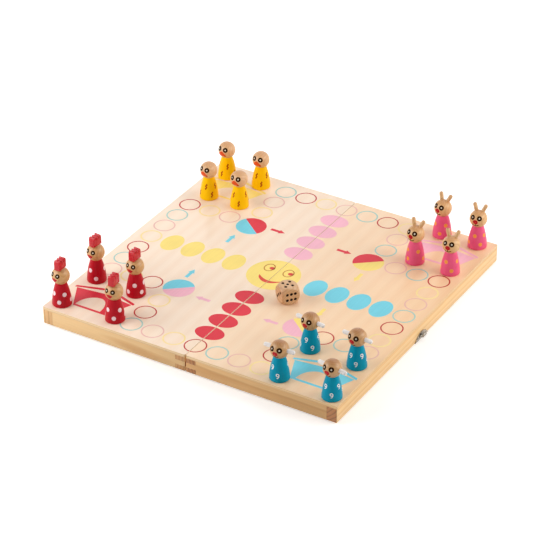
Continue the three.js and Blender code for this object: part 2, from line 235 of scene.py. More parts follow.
def newMaterial(name, follows=False):
    # a material that follows its piece takes its patterns from the place on that piece
    material = bpy.data.materials.new(name)
    material.use_nodes = True
    material.node_tree.nodes.clear()
    add = partial(addNode, material.node_tree)
    if follows:
        place = add("Attribute", attribute_name="piecePlace").outputs["Vector"]
    else:
        place = add("TexCoord").outputs["Object"]
    return material, add, place


def fibreIn(add, laid, look, lighter):
    # fine fibre along the grain, and how far it darkens and lightens the wood
    fibre = add("TexNoise", {
        "Vector": laid, "Scale": 1 / (look["fibreMm"] * mm), "Detail": 3, "Roughness": 0.6,
    })
    streak = add("MapRange", {
        "Value": fibre, "From Min": 0.3, "From Max": 0.7,
        "To Min": 1 - look["fibreDepth"], "To Max": 1 + look["fibreDepth"] * lighter,
    })
    return fibre, streak


def uprightIn(add, axis):
    # how squarely a face looks along an axis
    normal = add("SeparateXYZ", {"Vector": add("TexCoord").outputs["Normal"]})
    return add("Math", {0: normal.outputs[axis]}, operation="ABSOLUTE")


def finished(material, base, pattern, rough, reliefs, constants, span=(0, 1)):
    # the shader: a pattern moves its roughness between two values, and the reliefs lie one on another, each
    # a pattern with its strength and its depth in millimetres
    add = partial(addNode, material.node_tree)
    sheen = add("MapRange", {
        "Value": pattern, "From Min": span[0], "From Max": span[1], "To Min": rough[0], "To Max": rough[1],
    })
    below = {}
    for height, strength, depth in reliefs:
        below = {"Normal": add("Bump", {
            "Height": height, "Strength": strength, "Distance": depth * mm, **below,
        })}
    inputs = {"Base Color": base, "Roughness": sheen, "IOR": 1.5, **constants, **below}
    add("OutputMaterial", {"Surface": add("BsdfPrincipled", inputs)})
    return material


def timber(name, look):
    # solid wood: growth rings round the grain's own line, fibre along it, darker where it is cut across; on
    # the turned heads that darkening of the top is partly painted shade
    material, add, place = newMaterial(name, look["follows"])
    axis = "XYZ".index(look["grain"])
    pith = [-part * mm for part in look["pith"]]
    stretch = [1, 1, 1]
    stretch[axis] = look["stretch"]
    laid = add("Mapping", {"Vector": place, "Location": pith, "Scale": stretch})
    stretch[axis] = look["flame"]
    sawn = add("Mapping", {"Vector": place, "Location": pith, "Scale": stretch})
    rings = add("TexWave", {
        "Vector": sawn, "Scale": ringScale(look["ringMm"]), "Distortion": look["wander"],
        "Detail": 2.5, "Detail Scale": look["wanderScale"], "Detail Roughness": 0.55,
    }, wave_type="RINGS", rings_direction=look["grain"], wave_profile="SAW").outputs["Fac"]
    early, middle, late = look["bands"]
    bands = withStops(add("ValToRGB", {"Fac": rings}),
                      (0, early), (look["middleAt"], middle), (look["lateAt"], late), (1, early))
    fibre, streak = fibreIn(add, laid, look, 0.6)
    grained = add("VectorMath", {0: bands, 1: streak}, operation="MULTIPLY")
    patch = add("TexNoise", {"Vector": laid, "Scale": look["patch"]})
    mottled = add("Mix", {
        "Factor": patch, 6: grained, 7: colour(look["patchTint"]),
    }, data_type="RGBA", blend_type="MULTIPLY")
    # faces that look along the grain are darkened: end grain, and on the heads partly painted shade on their
    # tops
    cut = add("MapRange", {
        "Value": uprightIn(add, axis), "From Min": 0.6, "From Max": 0.95, "To Max": look["endGrainAndShadeDark"],
    })
    tint = look["endGrainAndShadeTint"]
    ends = withStops(add("ValToRGB", {"Fac": rings}),
                     (0, tint), (0.5, tint), (0.85, look.get("endLine", tint)), (1, tint))
    wood = add("Mix", {"Factor": cut, 6: mottled, 7: ends}, data_type="RGBA", blend_type="MULTIPLY")
    return finished(material, wood, fibre, (look["rough"] - 0.06, look["rough"] + 0.08),
                    [(fibre, 0.25, look["reliefMm"])],
                    {"Coat Weight": look["varnish"], "Coat Roughness": 0.16}, (0.3, 0.7))


# Planed pine under clear varnish: warm straw with soft late-wood lines and a quiet shine
pine = {
    "follows": False, "stretch": 0.05, "flame": 0.12, "ringMm": 3.4, "wander": 5, "wanderScale": 0.5,
    "middleAt": 0.5, "lateAt": 0.82, "fibreMm": 1.2, "fibreDepth": 0.05, "patch": 22,
    "patchTint": "#F8EBD8", "rough": 0.42, "reliefMm": 0.05, "varnish": 0.2, "endGrainAndShadeDark": 0.85,
}
flatSawn = {**pine, "grain": "X", "pith": (0, -126, 7), "endGrainAndShadeTint": "#B98556"}
quarterSawn = {
    **pine, "grain": "Y", "flame": 0.07, "wander": 3, "bands": ("#FAD8A2", "#F8D39A", "#F0C385"),
}
paleFlatPine = timber("paleFlatSawnPine", {**flatSawn, "bands": ("#EDCB98", "#EAC691", "#DEB37D")})
warmFlatPine = timber("warmFlatSawnPine", {
    **flatSawn, "pith": (0, -128, 4), "bands": ("#E6BF88", "#E2B880", "#D2A269"),
})
darkEndPine = timber("darkEndQuarterSawnPine", {
    **quarterSawn, "pith": (121, 0, 37), "endGrainAndShadeTint": "#B07C50", "endLine": "#7C4C2A",
})
midEndPine = timber("midEndQuarterSawnPine", {
    **quarterSawn, "pith": (-187, 0, 37), "endGrainAndShadeTint": "#C0A084", "endLine": "#AC8868",
})
paleEndPine = timber("paleEndQuarterSawnPine", {
    **quarterSawn, "pith": (-231, 0, 8), "ringMm": 4.2, "wander": 1, "endGrainAndShadeTint": "#F2E4D6",
    "bands": ("#F4D4A4", "#F1CE9C", "#D3A774"), "middleAt": 0.62, "lateAt": 0.86,
})
# every wall of the case is cut from its own board
wallWoods = {
    "right_front_wall": warmFlatPine, "right_back_wall": warmFlatPine,
    "right_outer_wall": darkEndPine, "right_seam_wall": darkEndPine,
    "left_front_wall": paleFlatPine, "left_back_wall": paleFlatPine,
    "left_outer_wall": paleEndPine, "left_seam_wall": midEndPine,
}
# Turned beech left bare and waxed: pale pinkish tan, darker over the crown, partly end grain where the grain
# is cut across and partly painted shade on the head's top
beech = {
    "follows": True, "grain": "Z", "stretch": 0.12, "flame": 0.3, "pith": (3.4, 2.4, 0), "ringMm": 1.9,
    "wander": 2.2, "wanderScale": 0.35, "bands": ("#DEB683", "#D9AE7A", "#CFA06C"), "middleAt": 0.55,
    "lateAt": 0.85, "fibreMm": 0.9, "fibreDepth": 0.06, "patch": 60,
    "patchTint": "#F8E8D4", "endGrainAndShadeTint": "#C49B6C", "endGrainAndShadeDark": 0.6, "rough": 0.42, "reliefMm": 0.03,
    "varnish": 0.15,
}
turnedBeech = timber("turnedBeech", beech)
# each animal's heads take their own wood, with more or less painted shade on the top: most on the sheep,
# least on the ducks
honeyBeech = timber("honeyTurnedBeech", {**beech, "bands": ("#D8AC75", "#D2A46B", "#C6955E")})
creamBeech = timber("creamTurnedBeech", {
    **beech, "bands": ("#E8C08B", "#E3B882", "#D9AA74"), "endGrainAndShadeTint": "#CCA474",
})
tanBeech = timber("tanTurnedBeech", {
    **beech, "bands": ("#D2A775", "#CCA06C", "#C0925E"), "endGrainAndShadeTint": "#BC9060",
})
paleBeech = timber("paleTurnedBeech", {
    **beech, "bands": ("#E7BF92", "#E2B78A", "#D8AB7E"), "endGrainAndShadeTint": "#DDBB98", "endGrainAndShadeDark": 0.45,
})
# Sawn and tumbled beech for the die, a little greyer than the heads
dieBeech = timber("tumbledBeech", {
    **beech, "grain": "Y", "stretch": 0.1, "pith": (9, 0, -6), "ringMm": 2.2, "wander": 2.5,
    "bands": ("#DDB88F", "#D8B087", "#C89C72"), "fibreMm": 0.8, "fibreDepth": 0.08,
    "patchTint": "#F2DFCA", "endGrainAndShadeTint": "#DDBB98", "endGrainAndShadeDark": 0.4, "rough": 0.45, "reliefMm": 0.04,
    "varnish": 0.12,
})


def plywood(name, look):
    # three plies: the veneer that shows on top, a brown glue line, a pale core and the back veneer
    material, add, place = newMaterial(name)
    laid = add("Mapping", {
        "Vector": place, "Location": (0.31, 0, 0.05), "Scale": (1, look["stretch"], 1),
    })
    figure = add("TexWave", {
        "Vector": laid, "Scale": ringScale(look["bandMm"]), "Distortion": 7, "Detail": 2,
        "Detail Scale": 0.3, "Detail Roughness": 0.5,
    }, wave_type="BANDS", bands_direction="X")
    top = withStops(add("ValToRGB", {"Fac": figure.outputs["Fac"]}), *look["veneer"])
    fibre, streak = fibreIn(add, laid, look, 0.4)
    parts = add("SeparateXYZ", {"Vector": place})
    depth = add("MapRange", {
        "Value": parts.outputs["Z"], "From Min": board["panelBottom"] * mm, "From Max": board["top"] * mm,
    })
    layers = withStops(add("ValToRGB", {"Fac": depth}), *look["layers"])
    # the veneers keep their own figure, and only the cut edge shows the layers
    flat = add("MapRange", {"Value": uprightIn(add, 2), "From Min": 0.55, "From Max": 0.8})
    seen = add("Mix", {"Factor": flat, 6: layers, 7: top}, data_type="RGBA")
    # painted shade: the sheet turns darker and warmer from one side to the other, towards the outer edge of
    # the right half
    paintedShadeRamp = add("MapRange", {
        "Value": parts.outputs["X"], "From Min": look["paintedShadeFrom"] * mm, "From Max": look["paintedShadeTo"] * mm,
    })
    paintedShadeWood = add("Mix", {
        "Factor": paintedShadeRamp, 6: seen, 7: colour(look["paintedShadeTint"]),
    }, data_type="RGBA", blend_type="MULTIPLY")
    wood = add("VectorMath", {0: paintedShadeWood, 1: streak}, operation="MULTIPLY")
    return finished(material, wood, fibre, (look["rough"] - 0.04, look["rough"] + 0.05),
                    [(fibre, 0.12, 0.03)], {
                        "Specular IOR Level": 0.3, "Coat Weight": look["varnish"], "Coat Roughness": 0.14,
                    }, (0.3, 0.7))


# Birch plywood, sanded and varnished: an almost even cream with faint long grain and a satin gloss
birch = {
    "stretch": 0.04, "bandMm": 14, "fibreMm": 1.1, "fibreDepth": 0.028,
    "veneer": [(0, "#F9DBBB"), (0.5, "#F8D9B8"), (1, "#F7D6B4")],
    "layers": [(0, "#E9C79A"), (0.16, "#E2BC8C"), (0.2, "#C09468"), (0.24, "#EBCB9E"),
               (0.70, "#F1D3A6"), (0.75, "#C69C70"), (0.8, "#E8C698"), (1, "#F5DDB8")],
    # painted shade on the right half: darker and warmer from 30 to 154 mm out along X
    "paintedShadeFrom": 30, "paintedShadeTo": 154, "paintedShadeTint": "#FFF5E6", "rough": 0.36, "varnish": 0.15,
}
panelWoods = {
    "right": plywood("varnishedBirchPlywood", birch),
    # the left half's paler veneer is painted sheen: the light that falls on that half, put into its colour
    "left": plywood("sheenPaintedBirchPlywood", {
        **birch, "veneer": [(0, "#FBE5CF"), (0.5, "#FAE3CC"), (1, "#F9E0C8")],
    }),
}


def screenInk(name, code):
    # screen-printed ink under the board's varnish: even, with the veneer's grain just showing through
    material, add, place = newMaterial(name)
    laid = add("Mapping", {"Vector": place, "Scale": (1, birch["stretch"], 1)})
    fibre = add("TexNoise", {"Vector": laid, "Scale": 600, "Detail": 3})
    cloud = add("TexNoise", {"Vector": place, "Scale": 45, "Detail": 2})
    depth = add("Math", {0: fibre, 1: cloud}, operation="ADD")
    strength = add("MapRange", {
        "Value": depth, "From Min": 0.7, "From Max": 1.3, "To Min": 0.94, "To Max": 1.03,
    })
    tint = add("VectorMath", {0: colour(code)[:3], 1: strength}, operation="MULTIPLY")
    return finished(material, tint, fibre, (0.34, 0.46), [(fibre, 0.1, 0.02)],
                    {"Specular IOR Level": 0.15, "Coat Weight": 0.1, "Coat Roughness": 0.14})


# solid colours, and the thinner ink of the ring lines, which lets more of the wood through
inkCodes = {
    "red": "#DF3444", "yellow": "#FEE380", "pink": "#F8BACB", "cyan": "#78D5E8", "ochre": "#C07C28",
    "brick": "#DE4C3C", "redLine": "#BE2C2C", "yellowLine": "#FAE09E", "pinkLine": "#ECBAB0",
    "cyanLine": "#A8CFC8",
}
inks = {ink: screenInk(ink + "ScreenInk", code) for ink, code in inkCodes.items()}


def lacquer(name, code, shade, rough=0.3, shine=0.16, wavy=1):
    # thick nitro lacquer on turned wood: even colour, rounded gloss and a trace of the lathe's lines
    material, add, place = newMaterial(name, True)
    lathe = add("TexWave", {
        "Vector": place, "Scale": ringScale(0.9), "Distortion": 1.5, "Detail": 2,
    }, wave_type="BANDS", bands_direction="Z")
    flow = add("TexNoise", {"Vector": place, "Scale": 160, "Detail": 3})
    tint = add("Mix", {"Factor": flow, 6: colour(code), 7: colour(shade)}, data_type="RGBA")
    return finished(material, tint, flow, (rough - 0.06, rough + 0.1),
                    [(lathe.outputs["Fac"], 0.12 * wavy, 0.03), (flow, 0.2 * wavy, 0.08)],
                    {"Specular IOR Level": shine, "Coat Weight": shine / 3, "Coat Roughness": 0.12})


redLacquer = lacquer("redLacquer", "#BC0A20", "#AA061A", 0.32, 0.13)
combLacquer = lacquer("combRedLacquer", "#CE1E2A", "#BE1824", 0.24, 0.26, 0.15)
yellowLacquer = lacquer("yellowLacquer", "#FFCB00", "#FFBE00", 0.3, 0.08)
pinkLacquer = lacquer("pinkLacquer", "#F2608C", "#E6507C", 0.3, 0.2)
tealLacquer = lacquer("tealLacquer", "#009CBA", "#0088A8", 0.32, 0.08)
whiteLacquer = lacquer("whiteLacquer", "#F7F2F0", "#ECE6E4", 0.34)
glintLacquer = lacquer("glintLacquer", "#EFE7D6", "#E2D8C4", 0.34)
rosyLacquer = lacquer("rosyWhiteLacquer", "#F3DADD", "#EBCDD2", 0.34)
orangeLacquer = lacquer("orangeLacquer", "#FDA84E", "#F69A42", 0.36)
billLacquer = lacquer("billOrangeLacquer", "#E85A26", "#D84C1C", 0.4, 0.12)
brownLacquer = lacquer("brownLacquer", "#B04006", "#A03402", 0.5, 0.08)
darkLacquer = lacquer("darkBrownLacquer", "#3A1E06", "#2E1603", 0.5, 0.03)
noseLacquer = lacquer("noseRedLacquer", "#C4202A", "#AE1820", 0.4, 0.12)


def plated(name, bright, dullAndDarkReflection, rough, wearAndDarkReflection):
    # bright plating over pressed steel: mirror-like with faint rolling lines and dark dull spots, partly
    # wear and partly painted dark reflection
    material, add, place = newMaterial(name)
    rolled = add("Mapping", {"Vector": place, "Scale": (1, 0.08, 1)})
    lines = add("TexNoise", {"Vector": rolled, "Scale": 2500, "Detail": 2})
    spots = add("TexNoise", {"Vector": place, "Scale": 420, "Detail": 4, "Roughness": 0.7})
    # the dark spots are partly wear and partly painted dark reflection
    wornAndDarkReflection = add("MapRange", {"Value": spots, "From Min": 0.5, "From Max": 0.72, "To Max": wearAndDarkReflection})
    tint = add("Mix", {"Factor": wornAndDarkReflection, 6: colour(bright), 7: colour(dullAndDarkReflection)}, data_type="RGBA")
    return finished(material, tint, wornAndDarkReflection, (rough, rough + 0.25), [(lines, 0.15, 0.01)], {"Metallic": 1})


# the plating colours are darker than bare nickel: painted dark reflection, with the dark spots partly wear
nickelPlate = plated("nickelPlatedSteel", "#A8A298", "#39342C", rough=0.16, wearAndDarkReflection=1.0)
steelWire = plated("drawnSteelWire", "#9C9C9A", "#5A5752", rough=0.3, wearAndDarkReflection=0.8)


def scorched(name):
    # wood burnt by a hot drill: brown-black and matt
    material, add, place = newMaterial(name, True)
    soot = add("TexNoise", {"Vector": place, "Scale": 1800, "Detail": 3})
    tint = add("Mix", {
        "Factor": soot, 6: colour("#170A06"), 7: colour("#2C170C"),
    }, data_type="RGBA")
    return finished(material, tint, soot, (0.6, 0.9), [(soot, 0.3, 0.05)], {"Specular IOR Level": 0.15})


burntPip = scorched("scorchedBeech")
print("materials ready")


# The case

panel = {"seamCorner": 2, "outerCorner": 1, "topEdge": 0.5, "bottomEdge": 0.15, "seamEdge": 0.06}
wallEdge = 0.18


def panelHalf(name, turn):
    length = board["half"] - board["seamFace"]
    thick = board["top"] - board["panelBottom"]
    piece = newPiece(bpy.ops.mesh.primitive_cube_add, name, (length, 2 * board["half"], thick), size=1,
                     location=(board["seamFace"] + length / 2, 0, board["panelBottom"] + thick / 2))
    shape(piece, "EDGE")
    for corner, nearSeam in (("seamCorner", True), ("outerCorner", False)):
        roundEdges(piece, lambda start, end: abs(start.z - end.z) > level
                   and (start.x < length / 2) == nearSeam, panel[corner], segments=6)
    done()
    # the rounding is put on as a weight for each edge, small along the seam
    weights = piece.data.attributes.new("bevel_weight_edge", "FLOAT", "EDGE")
    for edge, weight in zip(piece.data.edges, weights.data):
        ends = [piece.data.vertices[index].co for index in edge.vertices]
        if all(abs(end.z - board["top"]) < level for end in ends):
            atSeam = all(end.x < board["seamFace"] + panel["seamCorner"] for end in ends)
            weight.value = panel["seamEdge" if atSeam else "topEdge"] / panel["topEdge"]
        elif all(abs(end.z - board["panelBottom"]) < level for end in ends):
            weight.value = panel["bottomEdge"] / panel["topEdge"]
    finishWith(piece, "BEVEL", width=panel["topEdge"], segments=4, limit_method="WEIGHT")
    smoothed(piece, 30)
    settle(piece, (board["middle"], 0, 0), turn)
    return piece


for side, turn in (("right", 0), ("left", 180)):
    top = panelHalf(side + "_panel", turn)
    paint(top, panelWoods[side])
    fit(top, side + "_case", side + "_top_panel")
for wall, wood in wallWoods.items():
    softCopy(wall, "_planed", wallEdge, wood, wall.split("_")[0] + "_case")
print("case ready")


# The printed board, drawn flat around the seam's middle

prints = {
    "shift": (-0.1, -0.55),    # the whole print sits a little off the board's middle
    "pitch": 22.145,           # from ring to ring
    "ring": 10.3, "ringStrokes": {"red": 1.2, "yellow": 1.6, "pink": 1.2, "cyan": 1.3},
    "crossing": 14.5, "crossingReach": 2.82, "crossingTurn": 38.5,
    "homeFirst": 43, "homePitch": 22.25, "homeDiscs": 4, "home": (10, 14),
    # the ink stops this far from the seam's middle, and the red further than the rest
    "seamEdge": 0.3, "seamEdgeRed": 0.44,
    "film": 0.03,              # ink thickness
    "sunk": -0.005,            # where its underside lies on the panel
    "overprint": 0.012,        # the same for the smile's lines, which lie on its yellow face
}
# the way round the board, as the columns and rows of its corners, and the colours of the rings along it
corners = [
    (-6, 3), (-4, 3), (-3, 4), (-3, 6), (3, 6), (3, 4), (4, 3), (6, 3), (6, -3), (4, -3), (3, -4), (3, -6),
    (-3, -6), (-3, -4), (-4, -3), (-6, -3), (-6, 3),
]
ringColours = "rypypcrypcrypcpcrypcrypcrcrypcrypcryrypcrypc"
initials = {"r": "red", "y": "yellow", "p": "pink", "c": "cyan"}
# the discs where two players part: place in columns and rows, colours left and right of the diagonal
crossings = [
    (-1, 1, "cyan", "red"), (1, 1, "red", "yellow"), (1, -1, "pink", "yellow"), (-1, -1, "cyan", "pink"),
]
homes = {"red": (0, -1), "pink": (0, 1), "yellow": (-1, 0), "cyan": (1, 0)}
# two arrows of each colour, and the turn of both
arrows = {
    "red": ((-36.25, 67.25), (34.5, 67.25), 0), "cyan": ((-67.25, 34), (-66.75, -36.25), 90),
    "pink": ((-34.5, -66.5), (36, -67), 180), "yellow": ((67, 35), (67, -32.5), 270),
}
arrow = {"length": 15, "shaft": 3.4, "headLength": 6.2, "headWidth": 6.5}
# each house's corner of the board, and where the foot of its left wall stands
houses = {"red": (-1, -1, -15), "cyan": (1, -1, -18.4), "pink": (1, 1, -16), "yellow": (-1, 1, -16)}
house = {
    "reach": 113.25,
    "roof": [(-30.8, 8.5), (0.25, 18.3), (31.6, 8.5), (31.6, 5.6), (0.25, 15.0), (-30.8, 5.6)],
    "walls": [(-28.5, 5.6), (0.25, 9.0), (30.0, 5.6), (19.2, -20.2)],
    "door": {"centre": (1.5, -17.5), "left": 15.75, "right": 10.5, "rise": 18.25, "steps": 12},
}
smile = {
    "face": (-0.75, 0), "radius": 25, "eyes": [(-10.25, 9), (9.75, 8.75)], "eye": (5.2, 6.4),
    "eyeStroke": 1.0, "pupils": [(-7.4, 8.9), (12.1, 8.7)], "pupil": (2.7, 2.3),
    "mouthWidth": 12.5, "mouthTop": -5.2, "mouthSag": 5.4, "mouthLip": 4.0, "mouthSteps": 24,
}


def flatDisc(at, radii, stroke=0, facets=64):
    piece = newPiece(bpy.ops.mesh.primitive_circle_add, "flatDisc", (1, radii[1] / radii[0], 1),
                     vertices=facets, radius=radii[0], fill_type="NGON", location=(*at, 0))
    if stroke:
        shape(piece)
        bpy.ops.mesh.inset(thickness=stroke)
        bpy.ops.mesh.delete(type="FACE")
        done()
    return piece


def cutAt(piece, through, normal, keepOuter):
    shape(piece)
    bpy.ops.mesh.bisect(plane_co=through, plane_no=normal, clear_inner=keepOuter, clear_outer=not keepOuter)
    done()


def flatShape(loops, at=(0, 0), turn=0):
    # a drawn outline with its holes, filled
    outline = bpy.data.curves.new("outline", "CURVE")
    outline.dimensions = "2D"
    outline.fill_mode = "BOTH"
    for loop in loops:
        spline = outline.splines.new("POLY")
        spline.points.add(len(loop) - 1)
        for point, (across, up) in zip(spline.points, loop):
            point.co = (across, up, 0, 1)
        spline.use_cyclic_u = True
    drawing = bpy.data.objects.new("flatShape", outline)
    bpy.context.collection.objects.link(drawing)
    takeUp(drawing)
    bpy.ops.object.convert(target="MESH")
    piece = named("flatShape")
    move(piece, shifted(*at) @ spun(turn))
    return piece


def arrowShape(at, turn):
    tip = arrow["length"] / 2
    neck = tip - arrow["headLength"]
    shaft = arrow["shaft"] / 2
    wing = arrow["headWidth"] / 2
    return flatShape([[
        (-tip, -shaft), (neck, -shaft), (neck, -wing), (tip, 0), (neck, wing), (neck, shaft), (-tip, shaft),
    ]], at, turn)


def houseShapes(across, up, foot):
    at = (across * house["reach"], up * house["reach"])
    door = house["door"]
    arch = []
    for step in range(2 * door["steps"] + 1):
        turn = pi / 2 * step / door["steps"]
        reach = door["right"] if step < door["steps"] else door["left"]
        arch.append((door["centre"][0] + reach * cos(turn), door["centre"][1] + door["rise"] * sin(turn)))
    walls = house["walls"] + [(foot, house["walls"][-1][1])]
    return [flatShape([house["roof"]], at), flatShape([walls, arch], at)]


def mouthShape():
    upper = []
    lower = []
    for step in range(smile["mouthSteps"] + 1):
        share = step / smile["mouthSteps"] * 2 - 1
        across = share * smile["mouthWidth"]
        height = smile["mouthTop"] - smile["mouthSag"] * (1 - share ** 2)
        # the lip is fullest left of the middle
        lip = smile["mouthLip"] * (1 - share) ** 0.7 * (1 + share) ** 0.35
        upper.append((across, height))
        lower.append((across, height - lip))
    return flatShape([upper + lower[-2:0:-1]])


track = {ink: [] for ink in homes}
ringCount = 0
for (column, row), (nextColumn, nextRow) in zip(corners, corners[1:]):
    steps = max(abs(nextColumn - column), abs(nextRow - row))
    for step in range(steps):
        spot = (column + (nextColumn - column) // steps * step, row + (nextRow - row) // steps * step)
        track[initials[ringColours[ringCount]]].append(spot)
        ringCount += 1
drawn = {ink: [] for ink in inks}
for ink, spots in track.items():
    ring = flatDisc((0, 0), (prints["ring"], prints["ring"]), prints["ringStrokes"][ink], facets=72)
    for column, row in spots:
        placed = copyOf(ring, "ring")
        move(placed, shifted(column * prints["pitch"], row * prints["pitch"]))
        drawn[ink + "Line"].append(placed)
    discard(ring)
for column, row, leftInk, rightInk in crossings:
    reach = prints["crossingReach"] * prints["pitch"]
    at = (column * reach, row * reach)
    # the normal of the dividing line that points to the right
    turn = radians(prints["crossingTurn"])
    normal = (sin(turn), -column * row * cos(turn), 0)
    for ink, keepOuter in ((leftInk, False), (rightInk, True)):
        half = flatDisc(at, (prints["crossing"], prints["crossing"]))
        cutAt(half, (*at, 0), normal, keepOuter)
        drawn[ink].append(half)
for ink, (column, row) in homes.items():
    radii = prints["home"] if column else prints["home"][::-1]
    for step in range(prints["homeDiscs"]):
        reach = prints["homeFirst"] + step * prints["homePitch"]
        drawn[ink].append(flatDisc((column * reach, row * reach), radii))
for ink, (one, other, turn) in arrows.items():
    drawn[ink] += [arrowShape(one, turn), arrowShape(other, turn)]
for ink, corner in houses.items():
    drawn[ink] += houseShapes(*corner)
drawn["yellow"].append(flatDisc(smile["face"], (smile["radius"], smile["radius"]), facets=96))
features = {
    "ochre": [flatDisc(at, smile["eye"], smile["eyeStroke"]) for at in smile["eyes"]],
    "brick": [flatDisc(at, smile["pupil"]) for at in smile["pupils"]] + [mouthShape()],
}


def layInk(name, ink, flat, lift):
    # one colour in two halves, each a thin film of ink on its own panel
    sheet = joined(flat, name)
    move(sheet, shifted(*prints["shift"]))
    edge = prints["seamEdgeRed" if ink in ("red", "redLine") else "seamEdge"]
    for side, keepOuter in (("right", True), ("left", False)):
        half = copyOf(sheet, name + "_" + side)
        cutAt(half, (edge if keepOuter else -edge, 0, 0), (1, 0, 0), keepOuter)
        finishWith(half, "SOLIDIFY", thickness=prints["film"], offset=1)
        settle(half, (board["middle"], 0, board["top"] + lift))
        paint(half, inks[ink])
        fit(half, side + "_case")
    discard(sheet)


for ink, flat in drawn.items():
    if flat:
        layInk("print_" + ink, ink, flat, prints["sunk"])
for ink, flat in features.items():
    layInk("smile_" + ink, ink, flat, prints["overprint"])
print("board ready")


# The pawns: one of each animal is turned and painted, then copied to its four places

pawn = {
    "facets": 48, "foot": 9, "footRounding": 0.7, "neck": 4.9, "bulge": 1.8,
    "head": 8.2, "headHeight": 29.2, "footRings": 3, "bodyRings": 14, "headRings": 18, "crownHole": 0.03,
    "stand": 0.05,          # air under everything that only stands on the board
    "paint": 0.07,          # thickness of a painted mark
    "paintOut": 0.042,      # how far it stands out of the wood
    "paintAway": 14,        # how far in front of the axis a mark is drawn
    "dabRings": 3,
    "grainTurn": 70, "grainShift": 40,    # from one pawn to the next of its kind, in degrees and millimetres
}
head = pawn["headHeight"]
neckHeight = head - sqrt(pawn["head"] ** 2 - pawn["neck"] ** 2)


def pawnRings():
    rings = []
    rounding = pawn["footRounding"]
    for step in range(pawn["footRings"] + 1):
        turn = radians(90 * step / pawn["footRings"])
        rings.append((pawn["foot"] - rounding + rounding * sin(turn), rounding - rounding * cos(turn)))
    for step in range(1, pawn["bodyRings"] + 1):
        height = rounding + (neckHeight - rounding) * step / pawn["bodyRings"]
        share = height / neckHeight
        rings.append((pawn["foot"] - (pawn["foot"] - pawn["neck"]) * share ** pawn["bulge"], height))
    start = asin((neckHeight - head) / pawn["head"])
    for step in range(1, pawn["headRings"] + 1):
        turn = start + (pi / 2 - pawn["crownHole"] - start) * step / pawn["headRings"]
        rings.append((pawn["head"] * cos(turn), head + pawn["head"] * sin(turn)))
    return rings


def turnedPawn(name):
    rings = pawnRings()
    piece = newPiece(bpy.ops.mesh.primitive_circle_add, name,
                     vertices=pawn["facets"], radius=rings[0][0], fill_type="NGON")
    shape(piece)
    for (inner, low), (outer, high) in zip(rings, rings[1:]):
        bpy.ops.mesh.extrude_region_move(TRANSFORM_OT_translate={"value": (0, 0, high - low)})
        bpy.ops.transform.resize(value=(outer / inner, outer / inner, 1))
    bpy.ops.mesh.select_all(action="SELECT")
    bpy.ops.mesh.normals_make_consistent(inside=False)
    done()
    smoothed(piece)
    return piece


def rememberPlace(piece, turn=0, along=0):
    # each point keeps its place on its own piece, so that grain follows the piece to the board
    marks = piece.data.attributes.new("piecePlace", "FLOAT_VECTOR", "POINT")
    spin = spun(turn).to_3x3()
    for mark, vertex in zip(marks.data, piece.data.vertices):
        mark.vector = spin @ vertex.co * mm + Vector((0, 0, along * mm))


def dab(across, up):
    # a spot of paint, upright and facing the front, with rings enough to bend round the pawn
    piece = newPiece(bpy.ops.mesh.primitive_circle_add, "dab", (1, up / across, 1),
                     vertices=24, radius=across, fill_type="NGON", rotation=(pi / 2, 0, 0))
    shape(piece)
    for step in range(pawn["dabRings"]):
        bpy.ops.mesh.inset(thickness=min(across, up) / (pawn["dabRings"] + 1))
    done()
    return piece


def leaf(length, above, below, fullAbove, fullBelow, sag=0):
    # a beak: a grid that narrows to both ends, above and below its middle line, with the ends let down
    piece = newPiece(bpy.ops.mesh.primitive_grid_add, "leaf", x_subdivisions=20, y_subdivisions=6, size=2)
    for vertex in piece.data.vertices:
        share = vertex.co.x
        reach, fullness = (above, fullAbove) if vertex.co.y > 0 else (below, fullBelow)
        height = vertex.co.y * (1 - abs(share)) ** fullness * reach - sag * share ** 2
        vertex.co = (share * length / 2, 0, height)
    shape(piece)
    bpy.ops.mesh.remove_doubles(threshold=level)
    done()
    return piece


def stroke(path, width, steps):
    # a brush stroke along a path that runs from 0 to 1
    piece = newPiece(bpy.ops.mesh.primitive_grid_add, "stroke",
                     x_subdivisions=steps, y_subdivisions=2, size=2)
    for vertex in piece.data.vertices:
        along = (vertex.co.x + 1) / 2
        here = Vector(path(along))
        ahead = (Vector(path(along + 0.01)) - Vector(path(along - 0.01))).normalized()
        side = Vector((-ahead.y, ahead.x)) * vertex.co.y * width / 2
        vertex.co = (here.x + side.x, 0, here.y + side.y)
    return piece


def paintOn(mark, target, material, tilt, azimuth=0, height=head, lift=0):
    # lays a mark on the pawn at an angle from the front, tilted about the point at that height
    turn = Matrix.Rotation(azimuth, 4, "Z") @ Matrix.Rotation(-tilt, 4, "X")
    mark.matrix_world = shifted(up=height) @ turn @ shifted(along=-pawn["paintAway"])
    bpy.context.view_layer.update()
    finishWith(mark, "SHRINKWRAP", target=target, wrap_method="PROJECT", wrap_mode="ABOVE_SURFACE",
               use_project_y=True, offset=pawn["paintOut"] + lift)
    finishWith(mark, "SOLIDIFY", thickness=pawn["paint"] + lift, offset=-1)
    bpy.ops.object.transform_apply()
    paint(mark, material)
    return mark


